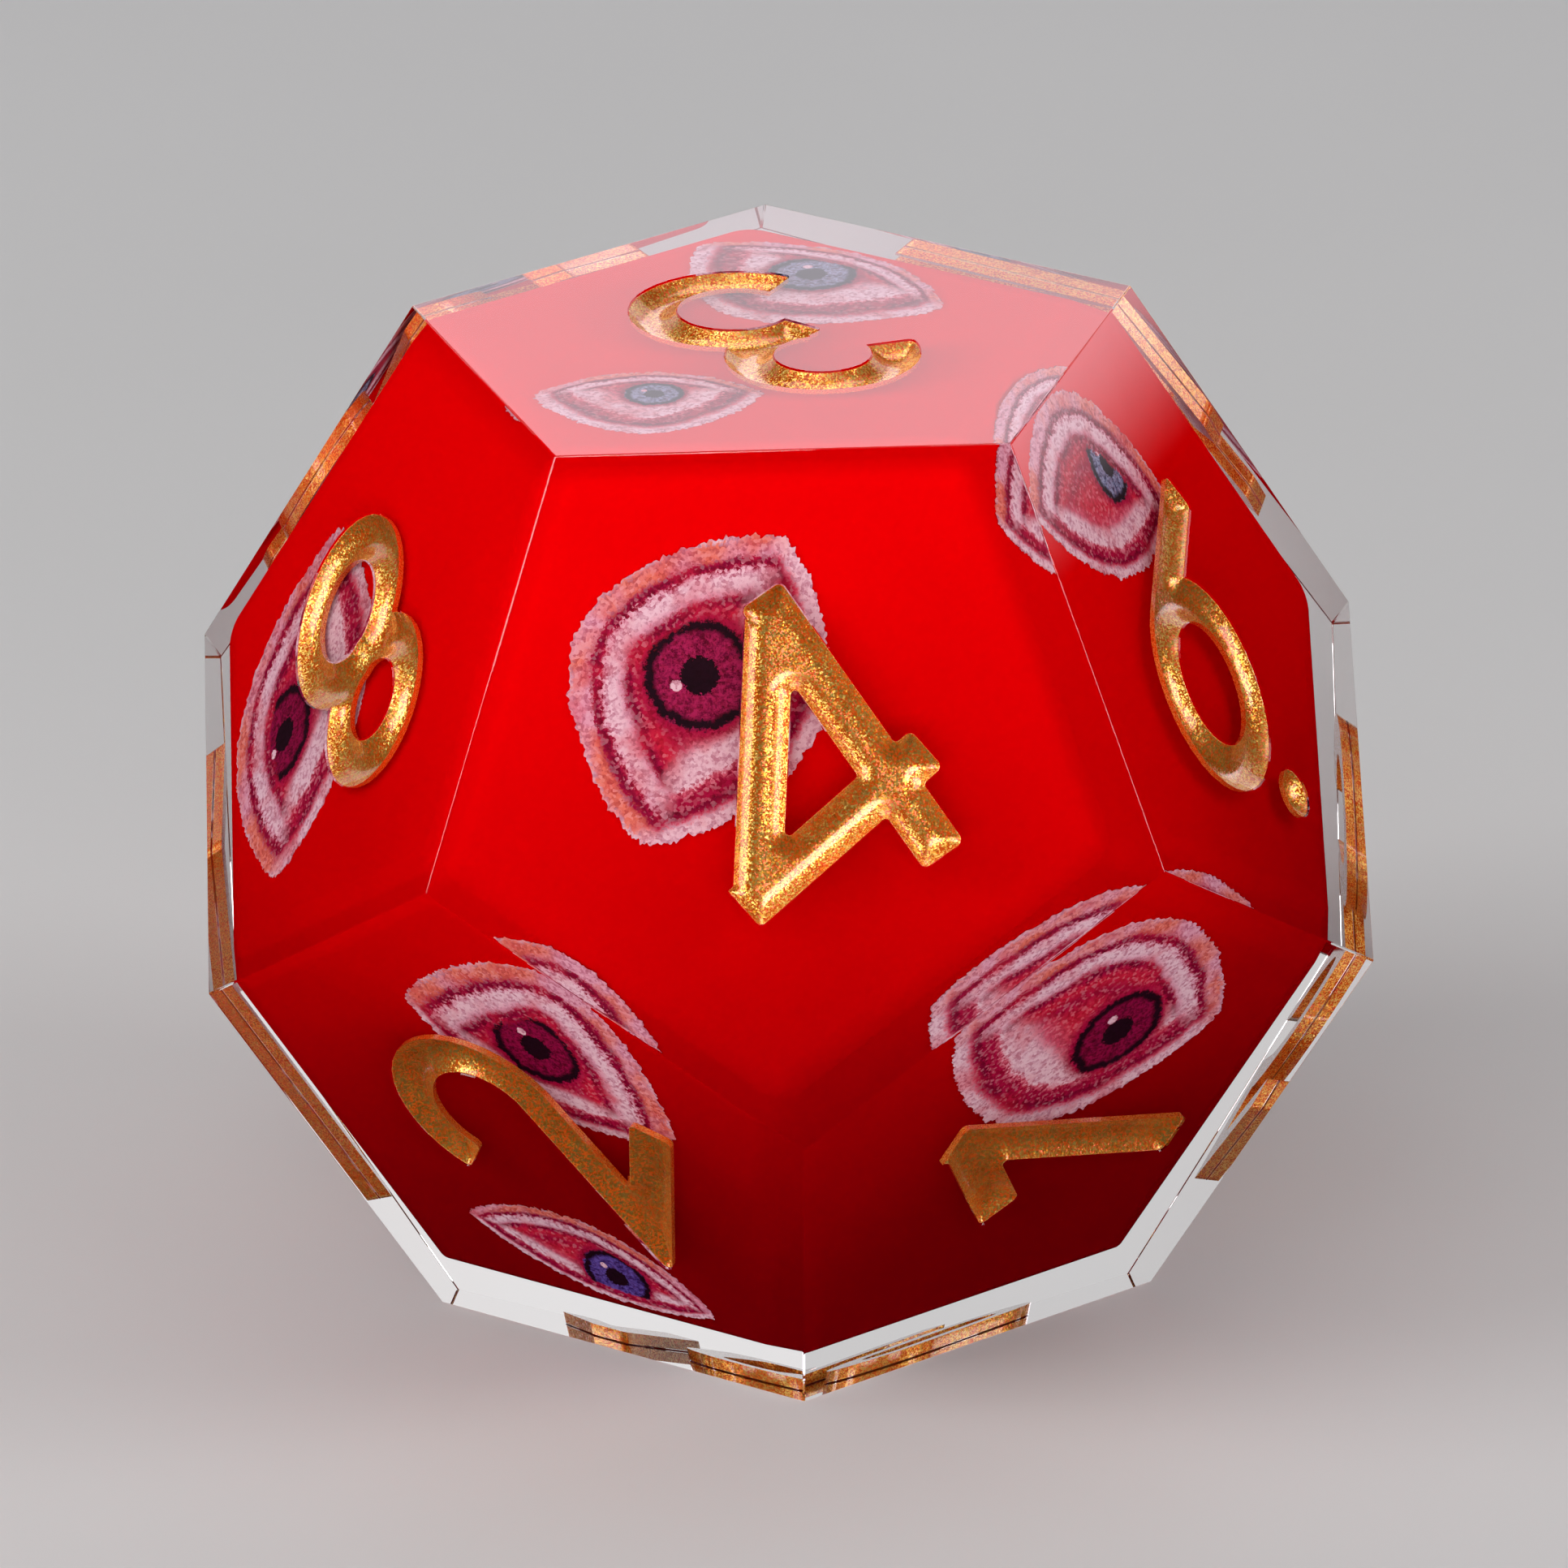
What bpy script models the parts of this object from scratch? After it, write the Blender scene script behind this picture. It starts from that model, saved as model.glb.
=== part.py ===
"""A twelve-sided polyhedral die: a red core with printed eye films, cast inside clear resin,
with engraved numerals that are filled with gold ink.

Metres, +Z up. The origin is the centre of the face that the die rests on, numeral 10, and the
face with numeral 4 looks along -Y. Opposite faces add up to thirteen.
"""
import math

import bmesh
import bpy
from mathutils import Matrix, Vector

MM = 0.001

# Overall size of the die
FACE_TO_FACE = 20.0 * MM
INRADIUS_PER_EDGE = math.sqrt(250 + 110 * math.sqrt(5)) / 20      # of a regular dodecahedron
EDGE = FACE_TO_FACE / (2 * INRADIUS_PER_EDGE)
FACE_TILT = math.degrees(math.atan(0.5))                          # side faces lean this far from upright
CENTRE = Vector((0, 0, FACE_TO_FACE / 2))

# The red core, which floated off centre when the clear resin was poured
CLEAR_THICKNESS = 1.03 * MM                                       # mean clear layer over the core
CORE_OFFSET = Vector((-0.36, 0.08, 0.33)) * MM
CORE_TO_CLEAR = 0.12 * MM                                         # room for a film between core and clear
POUR_GAP = 0.03 * MM                                              # between first and second clear pour

# Printed films on the core
FILM_THICKNESS = 0.04 * MM
FILM_MARGIN = 0.10 * MM                                           # a film stops this far from a core edge
FILM_STEPS = 9                                                    # outline points along one eyelid
LID_FULLNESS = 0.72                                               # 1 is a sine arch, less is rounder

# Engraved numerals and their ink
RECESS_DEPTH = 0.35 * MM
RECESS_STROKE = 0.105                                             # stroke width in edge lengths
INK_SIDE_GAP = 0.02 * MM
INK_FLOOR_GAP = 0.02 * MM
INK_SINK = 0.08 * MM                                              # the ink dried this far below the face
CUTTER_PROUD = 0.30 * MM                                          # recess cutters stand out of the face
ARC_STEP = 10.0                                                   # degrees per segment of a curved stroke
TWO_DIGIT_SCALE = 0.78
TWO_DIGIT_SHIFT = 0.17                                            # in edge lengths, each way

COLOURS = {                                                       # colour, roughness, metallic, alpha
    "clear": ((0.96, 0.95, 0.95), 0.03, 0.0, 0.25),
    "core": ((0.62, 0.0, 0.01), 0.35, 0.0, 1.0),
    "print": ((0.72, 0.30, 0.40), 0.50, 0.0, 1.0),
    "ink": ((0.75, 0.45, 0.10), 0.30, 0.9, 1.0),
}

# Numeral: (height of the face, azimuth of its normal, turn of the numeral in 36 degree steps)
FACES = {
    3: ("top", 0, -4), 10: ("bottom", 0, 1),
    4: ("upper", -90, 1), 6: ("upper", -18, -1), 11: ("upper", 54, 3),
    12: ("upper", 126, -1), 8: ("upper", -162, -3),
    1: ("lower", -54, 2), 5: ("lower", 18, 4), 9: ("lower", 90, -2),
    7: ("lower", 162, 0), 2: ("lower", -126, 2),
}

# Films: (face, one eye corner, other eye corner, upper lid height, lower lid height), all in edge
# lengths from the centre of the core's face
EYES = {
    "eye_print_3_far": (3, (-0.105, 0.65), (0.42, 0.20), 0.16, 0.31),
    "eye_print_3_near": (3, (-0.50, -0.27), (0.005, -0.30), 0.14, 0.23),
    "eye_print_4": (4, (-0.295, -0.20), (0.035, 0.465), 0.32, 0.25),
    "eye_print_6": (6, (-0.456, 0.469), (0.239, 0.209), 0.27, 0.17),
    "eye_print_8": (8, (0.043, -0.553), (-0.397, 0.147), 0.32, 0.28),
    "eye_print_2_high": (2, (-0.208, 0.352), (0.422, 0.072), 0.37, 0.16),
    "eye_print_2_low": (2, (-0.298, -0.408), (0.322, -0.560), 0.15, 0.10),
    "eye_print_1": (1, (-0.36, 0.395), (0.46, 0.155), 0.32, 0.31),
    "eye_print_5": (5, (-0.42, 0.05), (0.30, 0.30), 0.26, 0.22),
    "eye_print_7_high": (7, (-0.42, 0.20), (0.12, 0.44), 0.16, 0.18),
    "eye_print_7_low": (7, (-0.12, -0.42), (0.46, -0.12), 0.20, 0.18),
    "eye_print_9": (9, (-0.40, -0.10), (0.34, -0.24), 0.30, 0.22),
    "eye_print_10": (10, (-0.34, -0.22), (0.38, 0.02), 0.27, 0.22),
    "eye_print_11_high": (11, (-0.48, 0.28), (0.14, 0.38), 0.18, 0.22),
    "eye_print_11_low": (11, (-0.02, -0.48), (0.46, -0.14), 0.18, 0.18),
    "eye_print_12": (12, (-0.34, 0.16), (0.30, -0.30), 0.30, 0.24),
}


# ---------------------------------------------------------------- outlines, in edge lengths

def polar(centre, radius, degrees):
    angle = math.radians(degrees)
    return (centre[0] + radius * math.cos(angle), centre[1] + radius * math.sin(angle))


def arc(centre, radius, start, end):
    """Points along an arc; angles in degrees, end below start runs clockwise."""
    steps = max(2, round(abs(end - start) / ARC_STEP))
    return [polar(centre, radius, start + (end - start) * k / steps) for k in range(steps + 1)]


def circle(centre, radius):
    return arc(centre, radius, 0, 360)[:-1]


def stroke(points, width):
    """Outline of a pen stroke with flat ends and mitred corners."""
    path = [Vector(p) for p in points]
    left, right = [], []
    for k, here in enumerate(path):
        before = (here - path[k - 1]).normalized() if k else None
        after = (path[k + 1] - here).normalized() if k + 1 < len(path) else None
        first, last = before or after, after or before
        side = Vector((-first.y, first.x)) + Vector((-last.y, last.x))
        side = side / side.length_squared * width                 # mitre: half the width along each normal
        left.append(here + side)
        right.append(here - side)
    return [tuple(p) for p in left + right[::-1]]


def ring(centre, radius, width):
    return [circle(centre, radius + width / 2), circle(centre, radius - width / 2)]


def turned(shape, angle):
    """The same outlines turned about the digit's centre."""
    c, s = math.cos(angle), math.sin(angle)
    return [[(c * x - s * y, s * x + c * y) for x, y in loop] for loop in shape]


def digit_shapes(digit, width):
    """A digit as the shapes that are united to make it; each shape is a list of closed outlines."""
    if digit == 0:
        sides = arc((0, 0.17), 0.16, 180, 0) + arc((0, -0.17), 0.16, 0, -180)
        grow = [((x / 0.16) * width / 2, (y - math.copysign(0.17, y)) / 0.16 * width / 2) for x, y in sides]
        outer = [(x + gx, y + gy) for (x, y), (gx, gy) in zip(sides, grow)]
        inner = [(x - gx, y - gy) for (x, y), (gx, gy) in zip(sides, grow)]
        return [[outer, inner]]
    if digit == 1:
        return [[stroke([(-0.02, -0.40), (-0.02, 0.335)], width)],
                [stroke([(-0.235, 0.03), (-0.03, 0.285)], width)]]
    if digit == 2:
        bowl = arc((0.04, 0.13), 0.19, 170, -38)
        return [[stroke(bowl + [(-0.12, -0.295), (0.27, -0.295)], width)]]
    if digit == 3:
        return [[stroke(arc((-0.02, 0.15), 0.165, 165, -108), width)],
                [stroke(arc((-0.04, -0.20), 0.185, 108, -160), width)]]
    if digit == 4:
        return [[stroke([(0.14, -0.36), (0.17, 0.33)], width)],
                [stroke([(-0.23, -0.175), (0.15, 0.275)], width)],
                [stroke([(-0.275, -0.19), (0.25, -0.155)], width)]]
    if digit == 5:
        bowl = arc((-0.01, -0.15), 0.20, 122, -155)
        return [[stroke([(0.20, 0.31), (-0.13, 0.31), (-0.15, 0.0)] + bowl[1:], width)]]
    if digit == 6:
        bowl = (-0.03, -0.13)
        return [ring(bowl, 0.20, width), [stroke([polar(bowl, 0.20, 150), (0.015, 0.347)], width)]]
    if digit == 7:
        return [[stroke([(-0.22, 0.30), (0.20, 0.30), (-0.06, -0.37)], width)]]
    if digit == 8:
        return [ring((0, -0.165), 0.175, width), ring((0, 0.155), 0.15, width)]
    if digit == 9:
        return [turned(shape, math.pi) for shape in digit_shapes(6, width)]
    return [[circle((0.285, -0.325), 0.055 + (width - RECESS_STROKE) / 2)]]      # the dot of 6 and 9


def numeral_pieces(number):
    """(name ending, digit, scale, shift along the line of writing) of each separate mark."""
    if number in (6, 9):
        return [("", number, 1.0, 0.0), ("_dot", ".", 1.0, 0.0)]
    if number < 10:
        return [("", number, 1.0, 0.0)]
    endings = {10: ("_one", "_zero"), 11: ("_left_one", "_right_one"), 12: ("_one", "_two")}[number]
    digits = (number // 10, number % 10)
    shifts = (-TWO_DIGIT_SHIFT, TWO_DIGIT_SHIFT)
    return [(e, d, TWO_DIGIT_SCALE, s) for e, d, s in zip(endings, digits, shifts)]


def eye_outline(corner_a, corner_b, upper, lower):
    """An almond between two eye corners, its upper lid on the left of the way from a to b."""
    a, b = Vector(corner_a), Vector(corner_b)
    along = b - a
    side = Vector((-along.y, along.x)).normalized()
    lid = [(k / FILM_STEPS, math.sin(math.pi * k / FILM_STEPS) ** LID_FULLNESS) for k in range(FILM_STEPS)]
    above = [a + along * t + side * (upper * rise) for t, rise in lid]
    below = [b - along * t - side * (lower * rise) for t, rise in lid]
    return above + below


def trimmed(outline, pentagon):
    """The part of an outline inside a convex pentagon whose corners run anticlockwise."""
    for k, start in enumerate(pentagon):
        way = pentagon[(k + 1) % len(pentagon)] - start
        inside = [way.x * (p.y - start.y) - way.y * (p.x - start.x) for p in outline]
        kept = []
        for i, p in enumerate(outline):
            j = (i + 1) % len(outline)
            if inside[i] >= 0:
                kept.append(p)
            if (inside[i] >= 0) != (inside[j] >= 0):
                kept.append(p.lerp(outline[j], inside[i] / (inside[i] - inside[j])))
        outline = kept
    return outline


# ---------------------------------------------------------------- solids

def material(name, kind):
    colour, roughness, metallic, alpha = COLOURS[kind]
    made = bpy.data.materials.new(name)
    made.use_nodes = True
    shader = made.node_tree.nodes["Principled BSDF"]
    shader.inputs["Base Color"].default_value = (*colour, 1.0)
    shader.inputs["Roughness"].default_value = roughness
    shader.inputs["Metallic"].default_value = metallic
    shader.inputs["Alpha"].default_value = alpha
    made.diffuse_color = (*colour, alpha)
    return made


def add_object(name, mesh, collection, matrix=None):
    made = bpy.data.objects.new(name, mesh)
    collection.objects.link(made)
    if matrix:
        made.matrix_world = matrix
    return made


def hide_as_cutter(cutter):
    cutter.hide_render = True
    cutter.display_type = "WIRE"
    return cutter


def finish(piece, kind):
    piece.data.materials.append(material(piece.name, kind))
    return piece


def boolean(piece, operation, other):
    step = piece.modifiers.new(other.name, "BOOLEAN")
    step.operation = operation
    step.solver = "EXACT"
    step.object = other


def dodecahedron(name, inradius, centre, collection):
    """A regular dodecahedron on one of its faces, as the hull of its twenty corners."""
    edge = inradius / INRADIUS_PER_EDGE
    cap = edge / (2 * math.sin(math.radians(36)))
    belt = cap * (1 + math.sqrt(5)) / 2
    belt_z = inradius - belt_drop(edge)
    bm = bmesh.new()
    for k in range(5):
        angle = math.radians(-90 + 72 * k)
        x, y = math.cos(angle), math.sin(angle)
        bm.verts.new((-cap * x, -cap * y, inradius))
        bm.verts.new((-belt * x, -belt * y, belt_z))
        bm.verts.new((belt * x, belt * y, -belt_z))
        bm.verts.new((cap * x, cap * y, -inradius))
    bmesh.ops.convex_hull(bm, input=bm.verts)
    bmesh.ops.dissolve_limit(bm, angle_limit=math.radians(1), verts=bm.verts, edges=bm.edges)
    bmesh.ops.recalc_face_normals(bm, faces=bm.faces)
    mesh = bpy.data.meshes.new(name)
    bm.to_mesh(mesh)
    bm.free()
    return add_object(name, mesh, collection, Matrix.Translation(centre))


def belt_drop(edge):
    """Height from the top face down to the upper ring of corners."""
    slope = math.radians(90 - FACE_TILT)
    return edge * math.cos(math.radians(18)) * math.sin(slope)


def block(name, low, high, collection):
    bm = bmesh.new()
    bmesh.ops.create_cube(bm, size=1.0)
    size, middle = Vector(high) - Vector(low), (Vector(high) + Vector(low)) / 2
    bmesh.ops.scale(bm, vec=size, verts=bm.verts)
    mesh = bpy.data.meshes.new(name)
    bm.to_mesh(mesh)
    bm.free()
    return hide_as_cutter(add_object(name, mesh, collection, Matrix.Translation(middle)))


def slab(name, loops, thickness, matrix, collection):
    """A flat piece with the given outlines in metres; its mid-plane is the matrix's XY plane."""
    curve = bpy.data.curves.new(name, "CURVE")
    curve.dimensions = "2D"
    curve.fill_mode = "BOTH"
    curve.extrude = thickness / 2
    for loop in loops:
        spline = curve.splines.new("POLY")
        spline.points.add(len(loop) - 1)
        for point, (x, y) in zip(spline.points, loop):
            point.co = (x, y, 0, 1)
        spline.use_cyclic_u = True
    guide = add_object(name, curve, collection, matrix)
    bpy.context.view_layer.update()
    mesh = bpy.data.meshes.new_from_object(guide.evaluated_get(bpy.context.evaluated_depsgraph_get()))
    bpy.data.objects.remove(guide)
    bpy.data.curves.remove(curve)
    bm = bmesh.new()
    bm.from_mesh(mesh)
    bmesh.ops.remove_doubles(bm, verts=bm.verts, dist=0.001 * MM)
    bmesh.ops.dissolve_limit(bm, angle_limit=math.radians(1), verts=bm.verts, edges=bm.edges)
    bmesh.ops.recalc_face_normals(bm, faces=bm.faces)
    bm.to_mesh(mesh)
    bm.free()
    mesh.name = name
    return add_object(name, mesh, collection, matrix)


def face_matrix(number, centre, inradius, spin=0.0):
    """A frame on a face: X to the right and Y up as seen from outside, Z out of the face."""
    height, azimuth, _ = FACES[number]
    lean = {"top": 90.0, "upper": FACE_TILT, "lower": -FACE_TILT, "bottom": -90.0}[height]
    turn = -90.0 if height in ("top", "bottom") else azimuth
    upright = Matrix.Rotation(math.radians(turn + 90), 4, "Z") @ Matrix.Rotation(math.radians(90), 4, "X")
    frame = upright @ Matrix.Rotation(-math.radians(lean), 4, "X")
    outwards = frame.to_3x3().col[2] * inradius
    return Matrix.Translation(centre + outwards) @ frame @ Matrix.Rotation(spin, 4, "Z")


def numeral_solids(number, grow, top, bottom, prefix, collection, helpers):
    """The marks of one numeral, each a slab from depth `bottom` to height `top` about its face."""
    spin = math.radians(36 * FACES[number][2])
    matrix = face_matrix(number, CENTRE, FACE_TO_FACE / 2, spin)
    made = []
    for ending, digit, scale, shift in numeral_pieces(number):
        name = f"{prefix}_{number}{ending}"
        frame = matrix @ Matrix.Translation((shift * EDGE, 0, (top + bottom) / 2))
        width = RECESS_STROKE / math.sqrt(scale) + 2 * grow / (EDGE * scale)
        shapes = digit_shapes(digit, width)
        marks = []
        for k, loops in enumerate(shapes):
            sized = [[(x * EDGE * scale, y * EDGE * scale) for x, y in loop] for loop in loops]
            first = k == 0
            mark = slab(name if first else f"{name}_stroke_{k}", sized, top - bottom, frame,
                        collection if first else helpers)
            marks.append(mark)
        for extra in marks[1:]:
            boolean(marks[0], "UNION", hide_as_cutter(extra))
        made.append(marks[0])
    return made


def core_pentagon(inradius):
    """Corners of a core face, pulled in by the film margin, with one corner straight up."""
    edge = inradius / INRADIUS_PER_EDGE
    apothem = edge / (2 * math.tan(math.radians(36))) - FILM_MARGIN
    reach = apothem / math.cos(math.radians(36))
    return [Vector((reach * math.cos(math.radians(90 + 72 * k)), reach * math.sin(math.radians(90 + 72 * k))))
            for k in range(5)]


def eye_film(name, face, corner_a, corner_b, upper, lower, core_inradius, collection):
    outline = [p * EDGE for p in eye_outline(corner_a, corner_b, upper, lower)]
    pentagon = core_pentagon(core_inradius)
    if FACES[face][0] in ("upper", "bottom"):                     # these faces stand on a corner
        pentagon = [-p for p in pentagon]
    frame = face_matrix(face, CENTRE + CORE_OFFSET, core_inradius + CORE_TO_CLEAR / 2)
    return slab(name, [trimmed(outline, pentagon)], FILM_THICKNESS, frame, collection)


def build():
    for old in list(bpy.data.objects):
        bpy.data.objects.remove(old)
    die = bpy.data.collections.new("polyhedral_die")
    cutters = bpy.data.collections.new("cutters")
    bpy.context.scene.collection.children.link(die)
    bpy.context.scene.collection.children.link(cutters)

    core_inradius = FACE_TO_FACE / 2 - CLEAR_THICKNESS
    core_centre = CENTRE + CORE_OFFSET
    finish(dodecahedron("red_core", core_inradius, core_centre, die), "core")
    for name, (face, corner_a, corner_b, upper, lower) in EYES.items():
        finish(eye_film(name, face, corner_a, corner_b, upper, lower, core_inradius, die), "print")

    # The first pour is a thin bed on the resting face; the second pour covers core and bed
    bed_top = (core_centre.z - core_inradius) - CORE_TO_CLEAR
    reach = FACE_TO_FACE
    bed = finish(dodecahedron("clear_base_layer", FACE_TO_FACE / 2, CENTRE, die), "clear")
    body = finish(dodecahedron("clear_body", FACE_TO_FACE / 2, CENTRE, die), "clear")
    boolean(bed, "DIFFERENCE",
            block("above_bed", (-reach, -reach, bed_top), (reach, reach, 2 * reach), cutters))
    boolean(body, "DIFFERENCE",
            block("below_body", (-reach, -reach, -reach), (reach, reach, bed_top + POUR_GAP), cutters))
    pocket = dodecahedron("core_pocket", core_inradius + CORE_TO_CLEAR, core_centre, cutters)
    boolean(body, "DIFFERENCE", hide_as_cutter(pocket))

    for number in FACES:
        holder = bed if number == 10 else body
        for recess in numeral_solids(number, 0.0, CUTTER_PROUD, -RECESS_DEPTH, "recess", cutters, cutters):
            boolean(holder, "DIFFERENCE", hide_as_cutter(recess))
        for ink in numeral_solids(number, -INK_SIDE_GAP, -INK_SINK, -RECESS_DEPTH + INK_FLOOR_GAP,
                                  "ink", die, cutters):
            finish(ink, "ink")


build()
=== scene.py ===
"""The looks of the polyhedral die: one seamless body of clear resin with engraved numerals, gold
glitter ink with a hollow surface, a red core and watercolour eye films, on a pale floor."""
import math
from collections import namedtuple

import bmesh
import bpy
import numpy as np
from mathutils import Matrix, Vector, geometry, noise


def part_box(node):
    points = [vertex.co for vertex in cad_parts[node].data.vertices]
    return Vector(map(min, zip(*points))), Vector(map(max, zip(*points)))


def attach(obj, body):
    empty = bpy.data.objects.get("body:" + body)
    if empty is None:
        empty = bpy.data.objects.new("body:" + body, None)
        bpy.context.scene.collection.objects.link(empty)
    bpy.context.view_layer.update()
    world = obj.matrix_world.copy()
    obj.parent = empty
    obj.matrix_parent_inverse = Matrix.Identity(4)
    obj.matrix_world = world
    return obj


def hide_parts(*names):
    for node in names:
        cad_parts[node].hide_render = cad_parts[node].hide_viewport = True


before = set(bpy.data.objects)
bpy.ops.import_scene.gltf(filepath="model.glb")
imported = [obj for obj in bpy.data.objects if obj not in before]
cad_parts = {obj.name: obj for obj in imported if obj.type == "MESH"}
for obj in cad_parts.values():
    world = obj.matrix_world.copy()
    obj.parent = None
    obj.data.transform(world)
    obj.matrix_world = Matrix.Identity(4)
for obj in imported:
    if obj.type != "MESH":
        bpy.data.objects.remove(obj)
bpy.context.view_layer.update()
BODY = "root"
MM = 0.001

# ---------------------------------------------------------------- sizes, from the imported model
FLOOR_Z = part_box("clear_base_layer")[0].z
FACE_TO_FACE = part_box("clear_body")[1].z - FLOOR_Z
INRADIUS_PER_EDGE = math.sqrt(250 + 110 * math.sqrt(5)) / 20
EDGE = FACE_TO_FACE / (2 * INRADIUS_PER_EDGE)
FACE_TILT = math.degrees(math.atan(0.5))
CENTRE = Vector((0, 0, FLOOR_Z + FACE_TO_FACE / 2))
CORE_LOW, CORE_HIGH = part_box("red_core")
CORE_CENTRE = (CORE_LOW + CORE_HIGH) / 2
CORE_INRADIUS = (CORE_HIGH.z - CORE_LOW.z) / 2

RESIN_TRIM = 0.001 * MM                      # keeps the resin within the CAD box
RESIN_BEVEL = 0.03 * MM
RESIN_BEVEL_STEPS = 3
CORE_ROUNDING = 0.40 * MM
CORE_FOOT_ROUNDING = 0.12 * MM
CORE_ROUNDING_STEPS = 6
FOOT_SHARE = 0.9                             # an edge is at the foot below this share of the inradius
RESIN_SHARP_ANGLE, INK_SHARP_ANGLE = 12, 45  # in degrees; flatter edges are shaded smooth
WELD_DISTANCE = 0.0005 * MM
STRAIGHT_ANGLE = 0.5                         # in degrees; sides this nearly in line become one

# Engraving: distances from the outline of a CAD ink node, which lies INK_GAP inside its recess
INK_GAP = 0.02 * MM
RIM_CHAMFER = 0.03 * MM
RECESS_DEPTH = 0.35 * MM
INK_BITE = 0.012 * MM                        # the ink reaches this far into the resin all round
INK_TOP = 0.040 * MM                         # the ink's rim lies this far below the face
INK_HOLLOW = 0.26 * MM                       # and its middle this much lower still
HALF_STROKE = 0.47 * MM
CORNER_RADIUS = 0.12 * MM                    # of the numerals' outlines
CORNER_POINTS = 7                            # points round one such corner
CORNER_ROOM = 0.48                           # share of a side that the rounding may take
CORNER_FLATTEST = 80                         # half of the widest corner that is rounded, in degrees
INK_GRID = 0.08 * MM                         # spacing of its points
INK_EDGE_ROWS = (0.015 * MM, 0.04 * MM, 0.08 * MM)   # rows of points beside its rim
CUTTER_PROUD = 0.2 * MM

# Face of each numeral: height of the face and azimuth of its normal
FACES = {
    3: ("top", 0), 10: ("bottom", 0),
    4: ("upper", -90), 6: ("upper", -18), 11: ("upper", 54), 12: ("upper", 126), 8: ("upper", -162),
    1: ("lower", -54), 5: ("lower", 18), 9: ("lower", 90), 7: ("lower", 162), 2: ("lower", -126),
}

# Eye films: face, both eye corners, heights of the upper and the lower lid, middle and radius of the
# iris, all in edge lengths from the middle of the core's face, and the iris colour
Eye = namedtuple("Eye", "face corner_a corner_b upper lower iris_at iris_radius iris")
EYES = {
    "eye_print_3_far": (3, (-0.105, 0.65), (0.42, 0.20), 0.16, 0.31, (0.135, 0.44), 0.105, "grey_blue"),
    "eye_print_3_near": (3, (-0.50, -0.27), (0.005, -0.30), 0.14, 0.23, (-0.235, -0.28), 0.068, "blue"),
    "eye_print_4": (4, (-0.295, -0.20), (0.035, 0.465), 0.32, 0.25, (-0.155, 0.165), 0.125, "crimson"),
    "eye_print_6": (6, (-0.456, 0.469), (0.239, 0.209), 0.27, 0.17, (0.024, 0.389), 0.092, "blue"),
    "eye_print_8": (8, (0.043, -0.553), (-0.397, 0.147), 0.32, 0.28, (-0.217, -0.303), 0.120, "wine"),
    "eye_print_2_high": (2, (-0.208, 0.352), (0.422, 0.072), 0.37, 0.16, (0.122, 0.282), 0.115, "wine"),
    "eye_print_2_low": (2, (-0.298, -0.408), (0.322, -0.560), 0.15, 0.10, (0.072, -0.510), 0.090, "indigo"),
    "eye_print_1": (1, (-0.36, 0.395), (0.46, 0.155), 0.32, 0.31, (0.150, 0.215), 0.125, "wine"),
    "eye_print_5": (5, (-0.42, 0.05), (0.30, 0.30), 0.26, 0.22, (-0.03, 0.17), 0.110, "crimson"),
    "eye_print_7_high": (7, (-0.42, 0.20), (0.12, 0.44), 0.16, 0.18, (-0.14, 0.30), 0.080, "blue"),
    "eye_print_7_low": (7, (-0.12, -0.42), (0.46, -0.12), 0.20, 0.18, (0.18, -0.26), 0.090, "wine"),
    "eye_print_9": (9, (-0.40, -0.10), (0.34, -0.24), 0.30, 0.22, (-0.05, -0.13), 0.120, "indigo"),
    "eye_print_10": (10, (-0.34, -0.22), (0.38, 0.02), 0.27, 0.22, (0.04, -0.08), 0.110, "crimson"),
    "eye_print_11_high": (11, (-0.48, 0.28), (0.14, 0.38), 0.18, 0.22, (-0.16, 0.31), 0.088, "wine"),
    "eye_print_11_low": (11, (-0.02, -0.48), (0.46, -0.14), 0.18, 0.18, (0.22, -0.30), 0.082, "blue"),
    "eye_print_12": (12, (-0.34, 0.16), (0.30, -0.30), 0.30, 0.24, (0.0, -0.04), 0.120, "grey_blue"),
}
IRIS_COLOURS = {
    "wine": ((0.085, 0.0, 0.018), (0.26, 0.003, 0.05)),
    "crimson": ((0.12, 0.0, 0.026), (0.36, 0.012, 0.085)),
    "blue": ((0.03, 0.03, 0.10), (0.26, 0.28, 0.44)),
    "indigo": ((0.03, 0.012, 0.12), (0.12, 0.07, 0.34)),
    "grey_blue": ((0.05, 0.05, 0.13), (0.30, 0.30, 0.46)),
}
# Red of the core from its foot (0) to its top (1): painted shade, darker towards the foot as if lit from
# above
RED_WITH_PAINTED_SHADE = [(0.0, (0.17, 0.0, 0.0015)), (0.15, (0.215, 0.0, 0.0015)), (0.27, (0.285, 0.0, 0.0015)),
                 (0.37, (0.36, 0.0, 0.0015)), (0.45, (0.45, 0.0, 0.001)), (0.55, (0.56, 0.0, 0.001)),
                 (0.72, (0.64, 0.0, 0.001)), (0.92, (0.75, 0.0, 0.001))]
PAINTED_SHADE_TILT = 0.12                              # painted shade: the darker reds reach this much higher per length to the right
WHITE, PALE, ROSE = (0.76, 0.52, 0.60), (0.70, 0.33, 0.43), (0.63, 0.10, 0.17)
ORANGE, RED, CRIMSON = (0.72, 0.17, 0.12), (0.58, 0.014, 0.045), (0.36, 0.003, 0.045)
WINE, INK = (0.17, 0.0, 0.026), (0.012, 0.001, 0.006)
LID_REACH = 0.35                             # the lids' bands lie within this distance of the edge
UPPER_LID, LOWER_LID = 0.31, 0.27            # usual heights of the lids
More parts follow.
